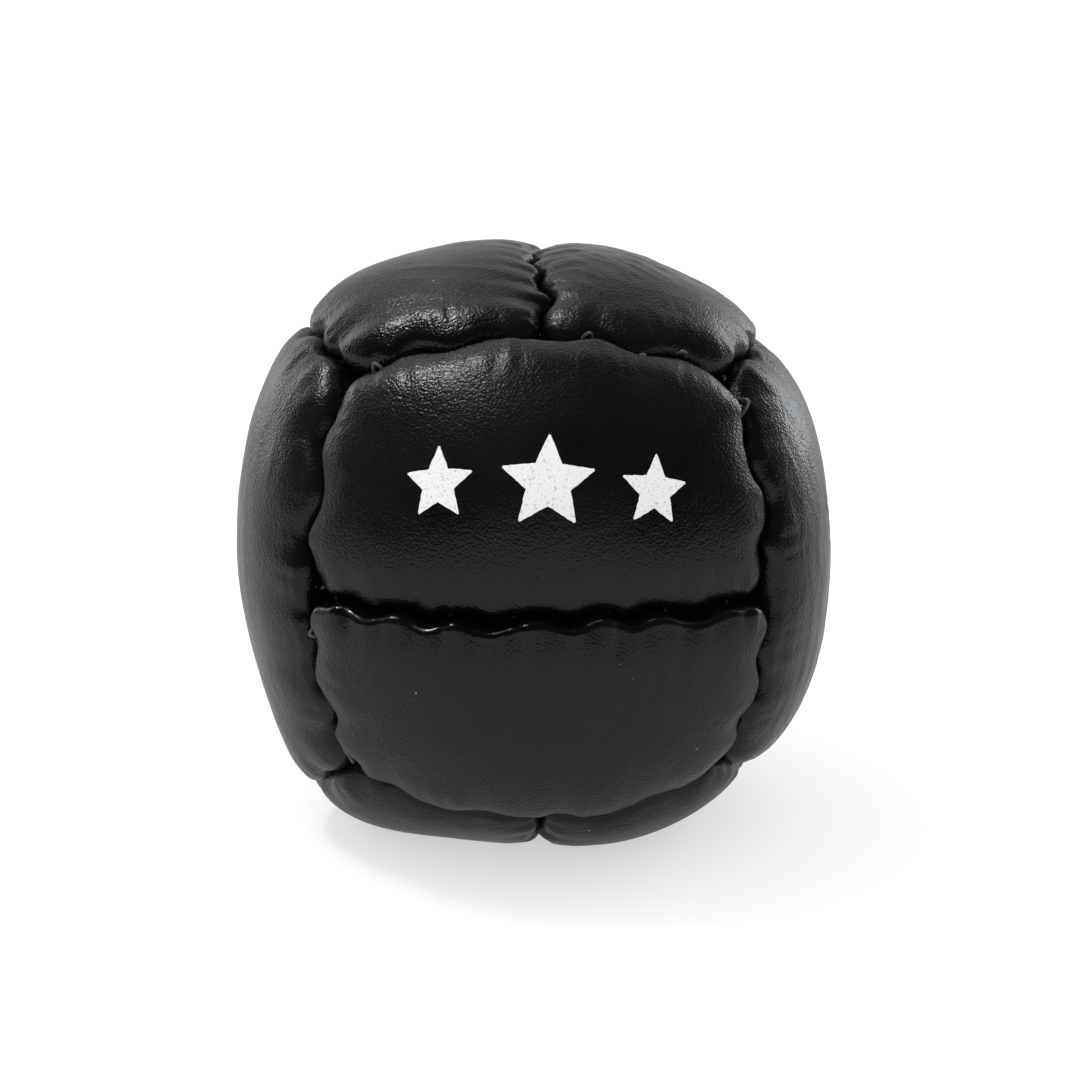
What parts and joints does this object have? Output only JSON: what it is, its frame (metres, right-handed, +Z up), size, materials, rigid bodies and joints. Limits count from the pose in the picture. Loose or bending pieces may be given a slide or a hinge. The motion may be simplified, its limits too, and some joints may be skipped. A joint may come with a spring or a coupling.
{
  "type": "juggling ball",
  "caption": "Soft round juggling ball of sewn leather panels over a loose grain filling, with a base that flattens where it rests.",
  "frame": {"origin": "middle of the flat that the ball rests on", "axes": "+Z up through the middle of the ball, -Y out through the middle of the printed front face, +X along the front face's middle seam"},
  "size_m": [0.061, 0.061, 0.0584],
  "materials": {
    "panel_leather": "satin",
    "seam_thread": "satin",
    "millet": "matte",
    "print_ink": "matte"
  },
  "bodies": {
    "root": {"front_upper_panel": "panel_leather", "front_lower_panel": "panel_leather", "back_upper_panel": "panel_leather", "back_lower_panel": "panel_leather", "left_front_panel": "panel_leather", "left_back_panel": "panel_leather", "right_front_panel": "panel_leather", "right_back_panel": "panel_leather", "top_left_panel": "panel_leather", "top_right_panel": "panel_leather", "bottom_left_panel": "panel_leather", "bottom_right_panel": "panel_leather", "front_middle_seam_thread": "seam_thread", "back_middle_seam_thread": "seam_thread", "left_middle_seam_thread": "seam_thread", "right_middle_seam_thread": "seam_thread", "top_middle_seam_thread": "seam_thread", "bottom_middle_seam_thread": "seam_thread", "front_left_seam_thread": "seam_thread", "front_right_seam_thread": "seam_thread", "front_top_seam_thread": "seam_thread", "front_bottom_seam_thread": "seam_thread", "back_left_seam_thread": "seam_thread", "back_right_seam_thread": "seam_thread", "back_top_seam_thread": "seam_thread", "back_bottom_seam_thread": "seam_thread", "left_top_seam_thread": "seam_thread", "left_bottom_seam_thread": "seam_thread", "right_top_seam_thread": "seam_thread", "right_bottom_seam_thread": "seam_thread", "millet_filling": "millet"}
  },
  "joints": []
}
